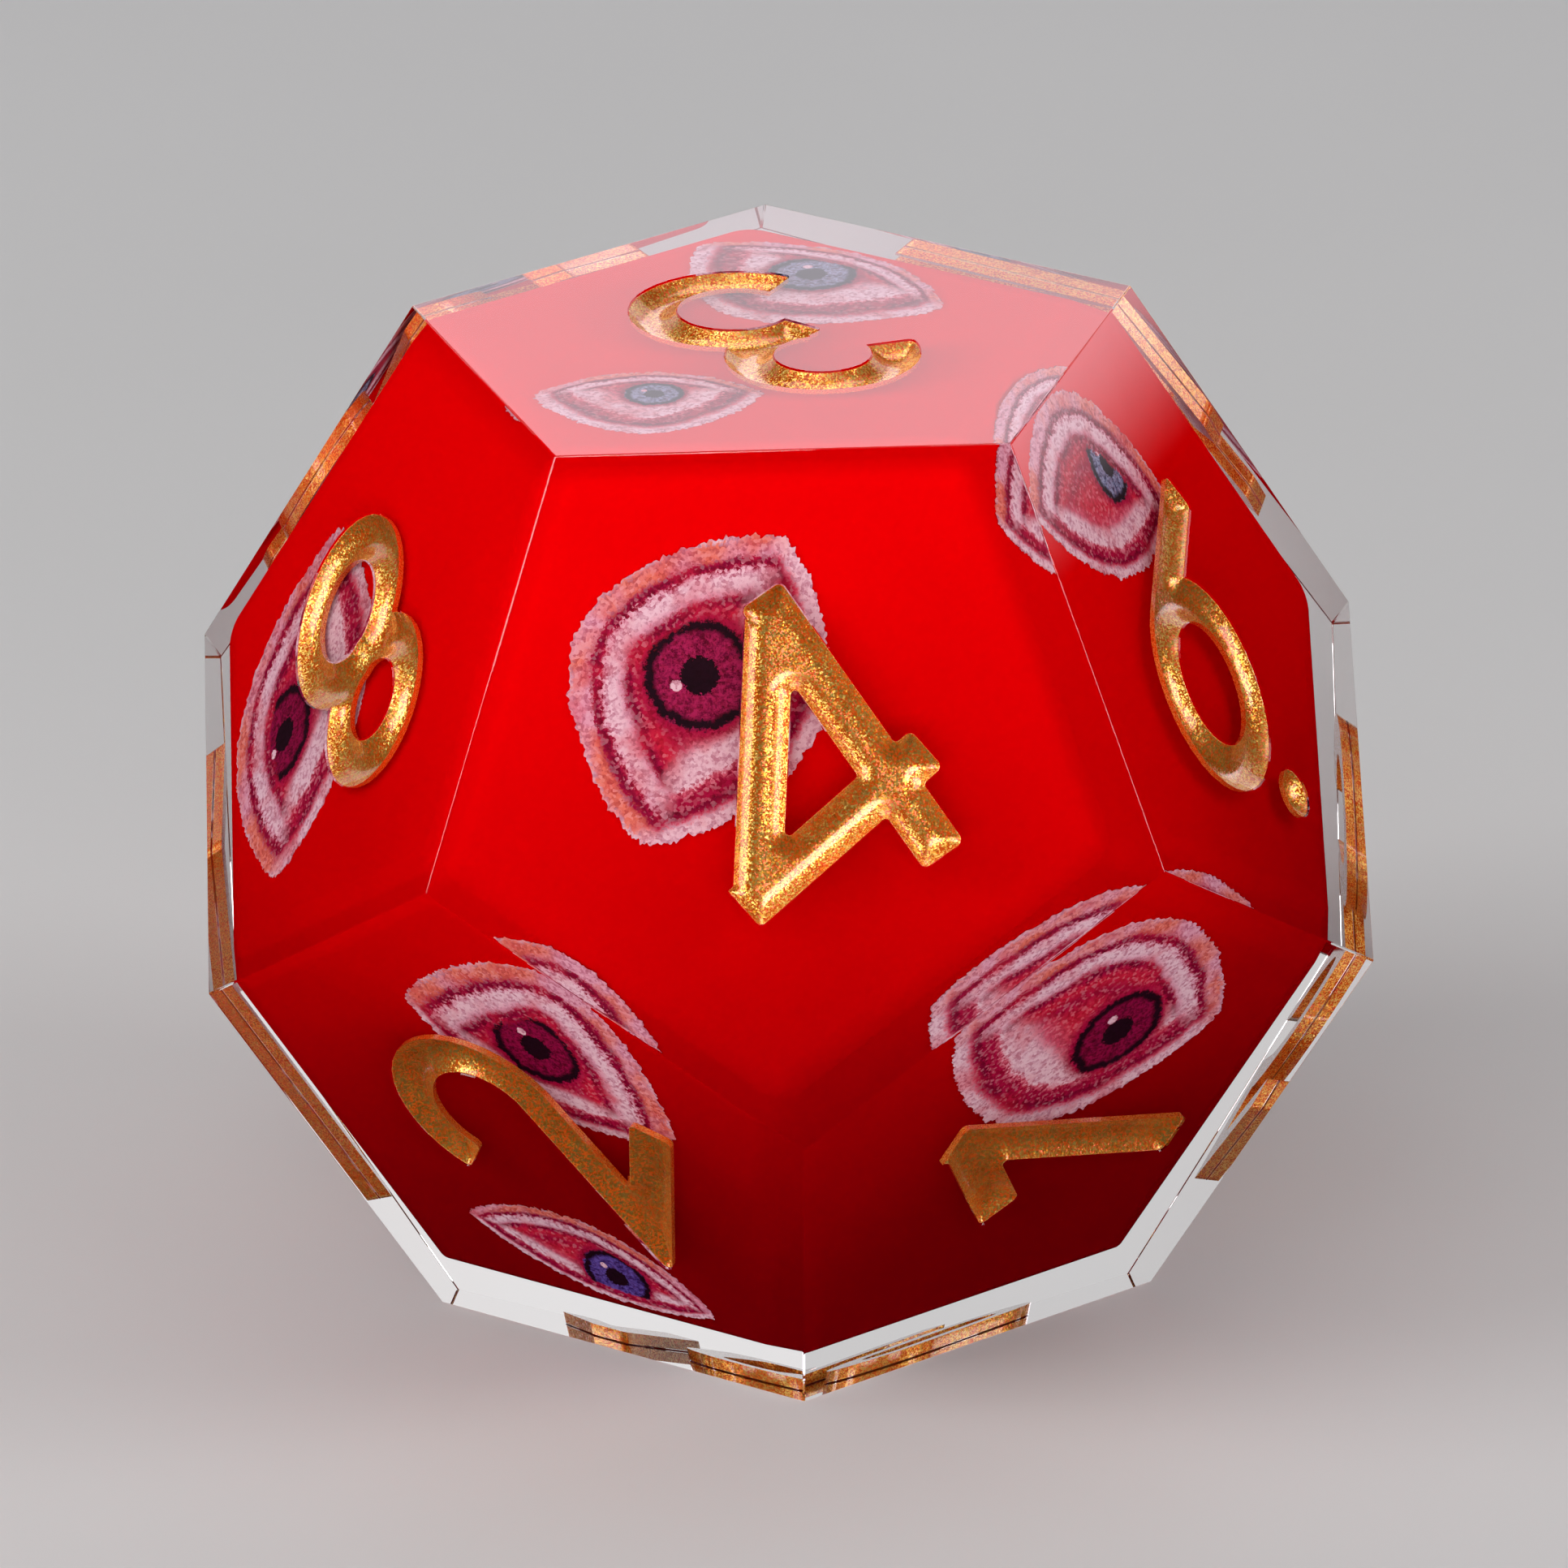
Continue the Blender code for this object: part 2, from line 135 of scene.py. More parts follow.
# Bands of the lids by their distance from the edge of the film, in edge lengths
UPPER_BANDS = [(0.0, WHITE), (0.008, ORANGE), (0.036, ORANGE), (0.046, CRIMSON), (0.054, WINE),
               (0.064, CRIMSON), (0.072, PALE), (0.082, WHITE), (0.104, WHITE), (0.116, PALE),
               (0.124, CRIMSON), (0.132, WINE), (0.142, CRIMSON), (0.165, RED), (0.20, CRIMSON),
               (0.26, RED), (0.33, ROSE)]
LOWER_BANDS = [(0.0, WHITE), (0.028, WHITE), (0.038, ROSE), (0.046, CRIMSON), (0.056, WINE),
               (0.068, CRIMSON), (0.090, CRIMSON), (0.102, ROSE), (0.114, WHITE), (0.17, WHITE),
               (0.20, ROSE), (0.25, RED)]
BLEACHED_REACH = 0.044                       # the upper lid is bleached in patches this near its edge
OPENING = (0.090, 0.100)                     # distance from the lids at which the eyeball appears
UPPER_LID_EXTRA = 0.055                      # the upper lid covers this much more
LID_FULLNESS = 0.72
LID_POINTS = 210                             # outline points along one eyelid
FILM_RINGS = 15
FILM_MARGIN = 0.10 * MM
FILM_LOW, FILM_HIGH = 0.012 * MM, 0.045 * MM   # faces of the film above the core
RAGGED = 0.009                               # how far the torn edge wanders, in edge lengths
FRAYS = ((0.6, 20), (0.8, 60), (1.0, 150))   # strength and fineness of each fray of the torn edge
GRAINS_PER_MM = 15.0                         # of the films
SAND_PER_MM = 13.0
FLUSH_STOPS = [(0.50, (0, 0, 0)), (0.66, (0.6, 0.6, 0.6))]
FLECK_STOPS = [(0.70, (0, 0, 0)), (0.90, (0.17, 0.17, 0.17))]
GRAIN_TONES = [(0.30, (0.62, 0.34, 0.42)), (0.50, (0.95, 0.86, 0.90)), (0.62, (1, 1, 1))]
# The iris, in iris radii
PUPIL_RADIUS, RIM_RADIUS, IRIS_FADE = 0.34, 0.97, 1.3
GLINT_AT, GLINT_RADIUS = (-0.34, 0.30, 0.0), 0.10
RING_SCALE = 0.7                             # the stops of the dark ring are radii times this
RING_STOPS = [(0.0, (0, 0, 0)), (0.53, (0, 0, 0)), (0.575, (1, 1, 1)), (0.66, (1, 1, 1)), (0.70, (0, 0, 0))]

# The gold's flakes
FLAKES_PER_MM = 34.0
FLAKE_TILT = 0.34
GOLD_TONES = [(0.0, (0.82, 0.09, 0.002)), (0.34, (0.88, 0.13, 0.004)), (0.48, (1.0, 0.36, 0.020)),
              (0.95, (1.0, 0.68, 0.17))]
DULLEST_METAL, BRIGHTEST_METAL = 0.25, 0.82

# ---------------------------------------------------------------- stage: lengths in metres
PANEL_AZIMUTH, PANEL_DISTANCE = 178, 0.40
PANEL_WIDTH, PANEL_FOOT, PANEL_TOP, PANEL_FADE = 0.77, 0.009, 0.28, 0.010
PANEL_BRIGHT, PANEL_DIM, PANEL_HALF_DIM = 1.9, 0.70, 0.90
PANEL_RISE = (0.05, 0.15)                    # across it, where it goes from dim to half dim
# Bright patches fade from the first distance to the second: across the panel or up from its foot
MIDDLE_PATCH, SIDE_PATCH, SIDE_PATCH_HEIGHT = (0.090, 0.130), (0.30, 0.22), (0.06, 0.11)
PANEL_COLOUR, PATCH_COLOUR = (1.0, 0.985, 0.985), (1.0, 0.96, 1.05)

FLOOR_RADIUS = 0.16                          # ends before the sides of the die mirror it
FLOOR_GAP = 0.05 * MM
FLOOR_TONES = [(0.3, (0.83, 0.825, 0.82)), (0.7, (0.86, 0.855, 0.85))]

# Lamps: azimuth and elevation in degrees, distance, width, height, brightness and colour
WHITE_LIGHT, SOFT_LIGHT, WARM_LIGHT = (1.0, 1.0, 1.0), (1.0, 0.98, 0.96), (1.0, 0.96, 0.92)
LAMPS = {
    "key": (-22, 48, 0.25, 0.12, 0.12, 1.2, SOFT_LIGHT),
    "glint": (-22, 48, 0.251, 0.12, 0.12, 6.5, SOFT_LIGHT),
    "overhead": (0, 82, 0.30, 0.30, 0.30, 0.5, WHITE_LIGHT),
    "crown": (178, 72, 0.28, 0.26, 0.14, 2.2, WARM_LIGHT),
    "low_left": (-68, 9, 0.30, 0.12, 0.08, 4.5, WARM_LIGHT),
    "low_right": (68, 9, 0.30, 0.12, 0.08, 4.5, WARM_LIGHT),
    "front": (0, 6, 0.34, 0.50, 0.06, 5.4, WHITE_LIGHT),
    "left": (-76, 30, 0.30, 0.14, 0.14, 5.3, WHITE_LIGHT),
    "right": (76, 30, 0.30, 0.11, 0.11, 5.4, WHITE_LIGHT),
}
HIGHLIGHT_LAMPS = ("glint", "crown", "low_left", "low_right")   # they make highlights and nothing else
UNMIRRORED_LAMPS = ("front",)                                   # no highlight shows them
WORLD_COLOUR, WORLD_STRENGTH = (0.9, 0.94, 1.0, 1.0), 0.035

# The camera stands where the die's corners fall as in the reference view
CAMERA_AZIMUTH, CAMERA_ELEVATION = -1.06, 22.79
CAMERA_DISTANCE = 32.68 * EDGE
CAMERA_ROLL = math.radians(-1.21)
CAMERA_LENS, CAMERA_SENSOR = 331.4, 36.0
CAMERA_CLIP = (0.01, 10.0)
AIM = CENTRE + Vector((0, 0, 0.03 * EDGE))


# ---------------------------------------------------------------- mesh helpers

def add_object(name, mesh, matrix=None):
    made = bpy.data.objects.new(name, mesh)
    bpy.context.scene.collection.objects.link(made)
    if matrix is not None:
        made.matrix_world = matrix
    return made


def mesh_from(name, points, faces):
    mesh = bpy.data.meshes.new(name)
    mesh.from_pydata([tuple(p) for p in points], [], faces)
    bm = bmesh.new()
    bm.from_mesh(mesh)
    bmesh.ops.recalc_face_normals(bm, faces=bm.faces)
    bm.to_mesh(mesh)
    bm.free()
    return mesh


def face_matrix(number, centre, inradius):
    """A frame on a face: X to the right and Y up as seen from outside, Z out of the face."""
    height, azimuth = FACES[number]
    lean = {"top": 90.0, "upper": FACE_TILT, "lower": -FACE_TILT, "bottom": -90.0}[height]
    turn = -90.0 if height in ("top", "bottom") else azimuth
    upright = Matrix.Rotation(math.radians(turn + 90), 4, "Z") @ Matrix.Rotation(math.radians(90), 4, "X")
    turned = upright @ Matrix.Rotation(-math.radians(lean), 4, "X")
    outwards = turned.to_3x3().col[2] * inradius
    return Matrix.Translation(centre + outwards) @ turned


def at_foot(heights, inradius):
    """Whether an edge, given the heights of its ends, is one of those round the face the die lies on."""
    return max(heights) < -FOOT_SHARE * inradius


def dodecahedron(name, inradius, bevel=0):
    """A regular dodecahedron about the origin on one of its faces. A bevel leaves out the edges round
    that face."""
    edge = inradius / INRADIUS_PER_EDGE
    cap = edge / (2 * math.sin(math.radians(36)))
    belt = cap * (1 + math.sqrt(5)) / 2
    belt_z = inradius - edge * math.cos(math.radians(18)) * math.sin(math.radians(90 - FACE_TILT))
    bm = bmesh.new()
    for k in range(5):
        x, y = math.cos(math.radians(72 * k - 90)), math.sin(math.radians(72 * k - 90))
        for radius, z in ((-cap, inradius), (-belt, belt_z), (belt, -belt_z), (cap, -inradius)):
            bm.verts.new((radius * x, radius * y, z))
    bmesh.ops.convex_hull(bm, input=bm.verts)
    bmesh.ops.dissolve_limit(bm, angle_limit=math.radians(1), verts=bm.verts, edges=bm.edges)
    if bevel:
        raised = [e for e in bm.edges if not at_foot([v.co.z for v in e.verts], inradius)]
        bmesh.ops.bevel(bm, geom=raised, offset=bevel, segments=RESIN_BEVEL_STEPS, profile=0.5,
                        affect="EDGES", clamp_overlap=True)
    bmesh.ops.recalc_face_normals(bm, faces=bm.faces)
    mesh = bpy.data.meshes.new(name)
    bm.to_mesh(mesh)
    bm.free()
    return mesh


def ink_outline(node, matrix):
    """The loops round a CAD ink node, flat on its die face: metal on the left of each loop."""
    outward, to_face = matrix.to_3x3().col[2], matrix.inverted()
    bm = bmesh.new()
    bm.from_mesh(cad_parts[node].data)
    bmesh.ops.delete(bm, geom=[f for f in bm.faces if f.normal.dot(outward) < 0.99], context="FACES")
    bmesh.ops.transform(bm, matrix=to_face, verts=bm.verts)
    bmesh.ops.remove_doubles(bm, verts=bm.verts, dist=WELD_DISTANCE)
    bmesh.ops.dissolve_limit(bm, angle_limit=math.radians(STRAIGHT_ANGLE), verts=bm.verts, edges=bm.edges)
    bm.normal_update()
    ways = {}
    for f in bm.faces:
        keys = [v.index for v in (f.verts if f.normal.z > 0 else reversed(f.verts))]
        ways.update({way: None for way in zip(keys, keys[1:] + keys[:1])})
    place = [np.array(v.co[:2]) for v in bm.verts]
    bm.free()
    following = {i: j for i, j in ways if (j, i) not in ways}
    loops = []
    while following:
        loop = [min(following)]
        while loop[-1] in following:
            loop.append(following.pop(loop[-1]))
        loops.append(np.array([place[k] for k in loop[:-1]]))
    return loops


def corner_arc(before, corner, after, radius):
    """The points of an arc that rounds a corner, or the corner itself where its sides are too short."""
    to_before, to_after = np.linalg.norm(before - corner), np.linalg.norm(after - corner)
    back = (before - corner) / to_before
    ahead = (after - corner) / to_after
    half = math.acos(np.clip(back @ ahead, -1, 1)) / 2
    reach = radius / math.tan(half)
    if half > math.radians(CORNER_FLATTEST) or reach > CORNER_ROOM * min(to_before, to_after):
        return [corner]
    middle = corner + (back + ahead) / np.linalg.norm(back + ahead) * radius / math.sin(half)
    start = corner + back * reach - middle
    end = corner + ahead * reach - middle
    span = math.pi - 2 * half
    return [middle + (start * math.sin((1 - t) * span) + end * math.sin(t * span)) / math.sin(span)
            for t in np.linspace(0, 1, CORNER_POINTS)]


def softened(loops, radius):
    """The loops with their corners rounded to a radius, where the sides are long enough."""
    soft = []
    for loop in loops:
        points = []
        for before, corner, after in zip(np.roll(loop, 1, axis=0), loop, np.roll(loop, -1, axis=0)):
            points += corner_arc(before, corner, after, radius)
        soft.append(np.array(points))
    return soft


def grown(loops, distance):
    """The loops moved outwards by a distance, with mitred corners."""
    moved = []
    for loop in loops:
        ahead = np.roll(loop, -1, axis=0) - loop
        ahead /= np.linalg.norm(ahead, axis=1)[:, None]
        outwards = np.stack([ahead[:, 1], -ahead[:, 0]], 1)
        both = outwards + np.roll(outwards, 1, axis=0)
        moved.append(loop + both * (2 * distance / (both ** 2).sum(1))[:, None])
    return moved


def finer(loops, step):
    """The loops with more points, no further apart than step."""
    return [np.array([p + (q - p) * k / cuts for p, q in zip(loop, np.roll(loop, -1, axis=0))
                      for cuts in [math.ceil(np.linalg.norm(q - p) / step)] for k in range(cuts)])
            for loop in loops]


def distance_to(loops, points):
    """The distance from each point to the nearest loop."""
    nearest = np.full(len(points), np.inf)
    for loop in loops:
        for p, q in zip(loop, np.roll(loop, -1, axis=0)):
            along = np.clip((points - p) @ (q - p) / ((q - p) @ (q - p)), 0, 1)
            nearest = np.minimum(nearest, np.linalg.norm(points - p - np.outer(along, q - p), axis=1))
    return nearest


def within(loops, points):
    """Which points lie within the loops and outside their holes."""
    x, y = points[:, 0], points[:, 1]
    crossings = np.zeros(len(points), int)
    for loop in loops:
        for p, q in zip(loop, np.roll(loop, -1, axis=0)):
            if p[1] != q[1]:
                level = (p[1] > y) != (q[1] > y)
                crossings += level & (x < p[0] + (y - p[1]) * (q[0] - p[0]) / (q[1] - p[1]))
    return crossings % 2 == 1


def filled(loops, inner=()):
    """Points and triangles over the area within the loops. The loops' own points come first."""
    points, edges = [], []
    for loop in loops:
        first = len(points)
        points += [Vector(p) / MM for p in loop]
        edges += [(first + k, first + (k + 1) % len(loop)) for k in range(len(loop))]
    points += [Vector(p) / MM for p in inner]
    place, _, triangles, origin, _, _ = geometry.delaunay_2d_cdt(points, edges, [], 1, 1e-5)
    flat = np.array([tuple(p) for p in place]) * MM
    triangles = np.array(triangles)[within(loops, flat[np.array(triangles)].mean(1))]
    own = [min(olds, default=len(points) + k) for k, olds in enumerate(origin)]
    used = sorted({(own[k], k) for k in triangles.ravel()})
    number = {k: new for new, (_, k) in enumerate(used)}
    return flat[[k for _, k in used]], [[number[k] for k in t] for t in triangles]


def stacked(levels, surface=None):
    """Points and faces of a solid through levels of (loops, height), the lowest first. A surface is
    (inner points, function from points to heights) for the top."""
    points = [(*p, height) for loops, height in levels for loop in loops for p in loop]
    count = sum(len(loop) for loop in levels[0][0])
    top = count * (len(levels) - 1)
    ahead, first, faces = {}, 0, []
    for loop in levels[0][0]:
        ahead.update({first + k: first + (k + 1) % len(loop) for k in range(len(loop))})
        first += len(loop)
    for low in range(0, top, count):
        faces += [[low + i, low + j, low + count + j, low + count + i] for i, j in ahead.items()]
    flat, triangles = filled(levels[0][0])
    faces += [t[::-1] for t in triangles]
    if surface:
        inner, height_at = surface
        flat, triangles = filled(levels[-1][0], inner)
        points += [(*p, z) for p, z in zip(flat[count:], height_at(flat[count:]))]
    faces += [[top + k for k in t] for t in triangles]
    return points, faces


# ---------------------------------------------------------------- material helpers

def new_material(name):
    made = bpy.data.materials.new(name)
    made.use_nodes = True
    made.node_tree.nodes.clear()
    return made


def add(tree, kind, inputs=None, **settings):
    """A node with its settings and its inputs, each a value or the socket that feeds it."""
    made = tree.nodes.new("ShaderNode" + kind)
    for key, value in settings.items():
        setattr(made, key, value)
    for key, value in (inputs or {}).items():
        if isinstance(value, bpy.types.NodeSocket):
            tree.links.new(value, made.inputs[key])
        else:
            made.inputs[key].default_value = value
    return made


def maths(tree, operation, a, b=0.0):
    return add(tree, "Math", {0: a, 1: b}, operation=operation).outputs[0]


def spread(tree, fac, middle, reach):
    """A texture's 0 to 1 as a value that wanders round the middle by up to half the reach each way."""
    return add(tree, "Math", {0: fac, 1: reach, 2: middle - reach / 2}, operation="MULTIPLY_ADD").outputs[0]


def remap(tree, value, start, end, low=0.0, high=1.0):
    """Low up to the start, high from the end on, and a straight slope between."""
    return add(tree, "MapRange", {"Value": value, "From Min": start, "From Max": end,
                                  "To Min": low, "To Max": high}).outputs[0]


def fade(tree, value, start, end):
    """1 at the start, falling smoothly to 0 at the end, and level outside them. The end may be the lower
    of the two."""
    return add(tree, "MapRange", {"Value": value, "From Min": start, "From Max": end, "To Min": 1.0,
                                  "To Max": 0.0}, interpolation_type="SMOOTHSTEP").outputs[0]


def mixed(tree, factor, a, b, blend="MIX"):
    made = add(tree, "Mix", data_type="RGBA", blend_type=blend)
    for slot, value in (("Factor_Float", factor), ("A_Color", a), ("B_Color", b)):
        socket = next(s for s in made.inputs if s.identifier == slot)
        if isinstance(value, bpy.types.NodeSocket):
            tree.links.new(value, socket)
        else:
            socket.default_value = value if slot == "Factor_Float" else (*value, 1.0)
    return next(s for s in made.outputs if s.identifier == "Result_Color")


def ramp(tree, factor, stops):
    """A colour ramp with (position, colour) stops."""
    made = add(tree, "ValToRGB", {"Fac": factor})
    elements = made.color_ramp.elements
    while len(elements) > 1:
        elements.remove(elements[-1])
    for k, (position, colour) in enumerate(stops):
        element = elements[0] if k == 0 else elements.new(position)
        element.position = position
        element.color = (*colour, 1.0)
    return made.outputs["Color"]


def millimetres(tree):
    """Object coordinates in millimetres, so that texture scales are per millimetre."""
    place = add(tree, "TexCoord").outputs["Object"]
    return add(tree, "VectorMath", {0: place, "Scale": 1 / MM}, operation="SCALE").outputs["Vector"]


def grain(tree, place, scale, detail=3.0, roughness=0.6):
    return add(tree, "TexNoise", {"Vector": place, "Scale": scale, "Detail": detail,
                                  "Roughness": roughness}).outputs["Fac"]


def output(tree, surface):
    add(tree, "OutputMaterial", {"Surface": surface})


def clear_resin_material():
    """Clear resin, polished, with a trace of haze and of polishing marks. Lamps reach through it."""
    made = new_material("clear_resin")
    tree = made.node_tree
    place = millimetres(tree)
    ripple = grain(tree, place, 0.35, 2.0)
    bump = add(tree, "Bump", {"Height": ripple, "Strength": 0.02, "Distance": 0.02 * MM}).outputs[0]
    rough = spread(tree, grain(tree, place, 3.0), 0.006, 0.008)
    tint = ramp(tree, grain(tree, place, 0.2), [(0.3, (1.0, 0.985, 0.985)), (0.7, (0.985, 0.99, 1.0))])
    resin = add(tree, "BsdfPrincipled", {"Base Color": tint, "Roughness": rough, "IOR": 1.5,
                                         "Transmission Weight": 1.0, "Normal": bump}).outputs[0]
    to_lamp = add(tree, "LightPath").outputs["Is Shadow Ray"]
    passing = add(tree, "BsdfTransparent", {"Color": (0.96, 0.95, 0.95, 1.0)}).outputs[0]
    output(tree, add(tree, "MixShader", {0: to_lamp, 1: resin, 2: passing}).outputs[0])
    return made


def red_resin_material():
    """Opaque red resin with painted shade, darker towards its foot and to its right, and a slight cloud of
    pigment.
    """
    made = new_material("red_resin")
    tree = made.node_tree
    place = millimetres(tree)
    cloud = grain(tree, place, 0.25, 4.0)
    fine = grain(tree, place, 6.0, 2.0)
    across, _, height = add(tree, "SeparateXYZ", {0: place}).outputs
    # painted shade: the red is ramped darker lower down and further to the right
    lift = maths(tree, "SUBTRACT", height, maths(tree, "MULTIPLY", across, PAINTED_SHADE_TILT))
    lift = maths(tree, "MULTIPLY", lift, MM / CORE_INRADIUS / 2)
    # depth is the height on the core made uneven by the pigment cloud; the ramp paints shade by it
    depth = maths(tree, "ADD", lift, spread(tree, cloud, 0.5, 0.12))
    depth = maths(tree, "ADD", depth, spread(tree, fine, 0.0, 0.02))
    colour = ramp(tree, depth, RED_WITH_PAINTED_SHADE)
    rough = spread(tree, fine, 0.5, 0.2)
    output(tree, add(tree, "BsdfPrincipled", {"Base Color": colour, "Roughness": rough,
                                              "Specular IOR Level": 0.0}).outputs[0])
    return made


def gold_ink_material():
    """Gold glitter ink: flakes a few hundredths of a millimetre wide, each tilted its own way."""
    made = new_material("gold_ink")
    tree = made.node_tree
    place = millimetres(tree)
    wander = add(tree, "TexNoise", {"Vector": place, "Scale": 12.0, "Detail": 2.0}).outputs["Color"]
    shaken = add(tree, "VectorMath", {0: wander, 1: (0.03, 0.03, 0.03), 2: place}, operation="MULTIPLY_ADD")
    flakes = add(tree, "TexVoronoi", {"Vector": shaken.outputs[0], "Scale": FLAKES_PER_MM}, feature="F1")
    random = flakes.outputs["Color"]
    tilt = add(tree, "VectorMath", {0: random, 1: (0.5, 0.5, 0.5)}, operation="SUBTRACT").outputs[0]
    normal = add(tree, "NewGeometry").outputs["Normal"]
    tilted = add(tree, "VectorMath", {0: tilt, 1: (FLAKE_TILT,) * 3, 2: normal}, operation="MULTIPLY_ADD")
    normal = add(tree, "VectorMath", {0: tilted.outputs[0]}, operation="NORMALIZE").outputs[0]
    shade = add(tree, "SeparateColor", {0: random}).outputs[0]
    pooled = maths(tree, "ADD", shade, spread(tree, grain(tree, place, 1.5), 0.0, 0.6))
    rough = spread(tree, shade, 0.28, 0.20)
    metallic = remap(tree, shade, 0.30, 0.50, DULLEST_METAL, BRIGHTEST_METAL)
    output(tree, add(tree, "BsdfPrincipled", {"Base Color": ramp(tree, pooled, GOLD_TONES),
                                              "Metallic": metallic,
                                              "Roughness": rough, "Normal": normal, "Coat Weight": 1.0,
                                              "Coat Roughness": 0.10}).outputs[0])
    return made


def band_ramp(tree, distance, bands):
    """The colour of a lid whose bands are given by their distance from the edge of the film."""
    stops = [(reach / LID_REACH, colour) for reach, colour in bands]
    return ramp(tree, maths(tree, "MULTIPLY", distance, 1 / LID_REACH), stops)


def lid_distances(tree, place, sand, grit):
    """Distances from the upper and from the lower edge of the film, made uneven."""
    lids = add(tree, "Attribute", attribute_name="lids").outputs["Vector"]
    high, low, _ = add(tree, "SeparateXYZ", {0: lids}).outputs
    wash = grain(tree, place, 1.1, 4.0)
    wobble = maths(tree, "ADD", spread(tree, wash, 0.0, 0.045), spread(tree, sand, 0.0, 0.028))
    wobble = maths(tree, "ADD", wobble, spread(tree, grit, 0.0, 0.012))
    return maths(tree, "ADD", high, wobble), maths(tree, "ADD", low, wobble)


def lid_colour(tree, place, grit, high, low):
    """Both lids: the upper one bleached in patches, flushed red in others, with a few white grains."""
    patches = remap(tree, grain(tree, place, 0.5), 0.44, 0.56)
    bleached = maths(tree, "MULTIPLY", maths(tree, "LESS_THAN", high, BLEACHED_REACH), patches)
    upper = mixed(tree, bleached, band_ramp(tree, high, UPPER_BANDS), PALE)
    nearer_low = remap(tree, maths(tree, "SUBTRACT", high, low), -0.035, 0.035)
    skin = mixed(tree, nearer_low, upper, band_ramp(tree, low, LOWER_BANDS))
    skin = mixed(tree, ramp(tree, grain(tree, place, 0.9, 3.0), FLUSH_STOPS), skin, RED)
    return mixed(tree, ramp(tree, grit, FLECK_STOPS), skin, WHITE)


def iris_picture(tree, sand, dark, light):
    """The iris with its broken dark ring, pupil and glint, and how far a place lies inside it."""
    about = add(tree, "Attribute", attribute_name="iris").outputs["Vector"]
    radius = add(tree, "VectorMath", {0: about}, operation="LENGTH").outputs["Value"]
    ray = add(tree, "VectorMath", {0: about}, operation="NORMALIZE").outputs[0]
    ragged = maths(tree, "ADD", radius, spread(tree, sand, 0.0, 0.30))
    streaks = maths(tree, "ADD", sand, spread(tree, grain(tree, ray, 5.0, 2.0), 0.0, 0.5))
    mottle = ramp(tree, streaks, [(0.36, dark), (0.58, light)])
    colour = mixed(tree, maths(tree, "GREATER_THAN", ragged, RIM_RADIUS), mottle, CRIMSON)
    broken = maths(tree, "ADD", ragged, spread(tree, grain(tree, ray, 2.2, 2.0), 0.0, 0.36))
    ring = ramp(tree, maths(tree, "MULTIPLY", broken, RING_SCALE), RING_STOPS)
    colour = mixed(tree, ring, colour, INK)
    colour = mixed(tree, maths(tree, "LESS_THAN", ragged, PUPIL_RADIUS), colour, INK)
    glint = add(tree, "VectorMath", {0: about, 1: GLINT_AT}, operation="DISTANCE").outputs["Value"]
    glint = maths(tree, "ADD", glint, spread(tree, sand, 0.0, 0.12))
    colour = mixed(tree, maths(tree, "LESS_THAN", glint, GLINT_RADIUS), colour, WHITE)
    return colour, fade(tree, ragged, 1.0, IRIS_FADE)


def eye_film_material(name, iris):
    """A watercolour eye in coarse grains. The attribute lids holds the distances from the upper and the
    lower edge of the film, in edge lengths for a lid of usual height, and the attribute iris the place
    about the middle of the iris, in iris radii."""
    made = new_material(name)
    tree = made.node_tree
    place = millimetres(tree)
    sand = grain(tree, place, SAND_PER_MM, 3.0, 0.8)
    cells = add(tree, "TexVoronoi", {"Vector": place, "Scale": GRAINS_PER_MM}, feature="F1")
    grit = add(tree, "SeparateColor", {0: cells.outputs["Color"]}).outputs[0]
    high, low = lid_distances(tree, place, sand, grit)
    skin = lid_colour(tree, place, grit, high, low)
    picture, inside = iris_picture(tree, sand, *IRIS_COLOURS[iris])
    nearest_lid = maths(tree, "MINIMUM", maths(tree, "SUBTRACT", high, UPPER_LID_EXTRA), low)
    opened = remap(tree, nearest_lid, *OPENING)
    colour = mixed(tree, maths(tree, "MULTIPLY", inside, opened), skin, picture)
    grains = maths(tree, "ADD", maths(tree, "MULTIPLY", sand, 0.6), maths(tree, "MULTIPLY", grit, 0.4))
    colour = mixed(tree, 0.9, colour, ramp(tree, grains, GRAIN_TONES), "MULTIPLY")
    output(tree, add(tree, "BsdfPrincipled", {"Base Color": colour, "Roughness": 0.6,
                                              "Specular IOR Level": 0.05}).outputs[0])
    return made


# ---------------------------------------------------------------- pieces

def settle(piece, material, slot, *nodes):
    """Gives a finished piece its material, attaches it to the die's body and hides the CAD nodes it stands
    for.
    """
    piece.data.materials.clear()
    piece.data.materials.append(material)
    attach(piece, BODY)
    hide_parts(*nodes)


def number_of(node):
    return int(node.split("_")[1])


def hollow_surface(rim):
    """Inner points and their heights for ink that has dried hollow between the walls of its recess."""
    low, high = np.vstack(rim).min(0), np.vstack(rim).max(0)
    rows = [np.arange(a, b, INK_GRID) for a, b in zip(low, high)]
    grid = np.stack(np.meshgrid(*rows), -1)
    grid[1::2, :, 0] += INK_GRID / 2
    grid = grid.reshape(-1, 2)
    near = np.vstack([finer(grown(rim, -reach), INK_GRID)[k] for reach in INK_EDGE_ROWS
                      for k in range(len(rim))])
    inner = np.vstack([near[distance_to(rim, near) > 0.7 * INK_EDGE_ROWS[0]],
                       grid[distance_to(rim, grid) > INK_EDGE_ROWS[-1] + INK_GRID / 2]])
    inner = inner[within(rim, inner)]

    def height_at(points):
        inwards = np.minimum(distance_to(rim, points) / HALF_STROKE, 1)
        return -INK_TOP - INK_HOLLOW * (1 - (1 - inwards) ** 2)

    return inner, height_at


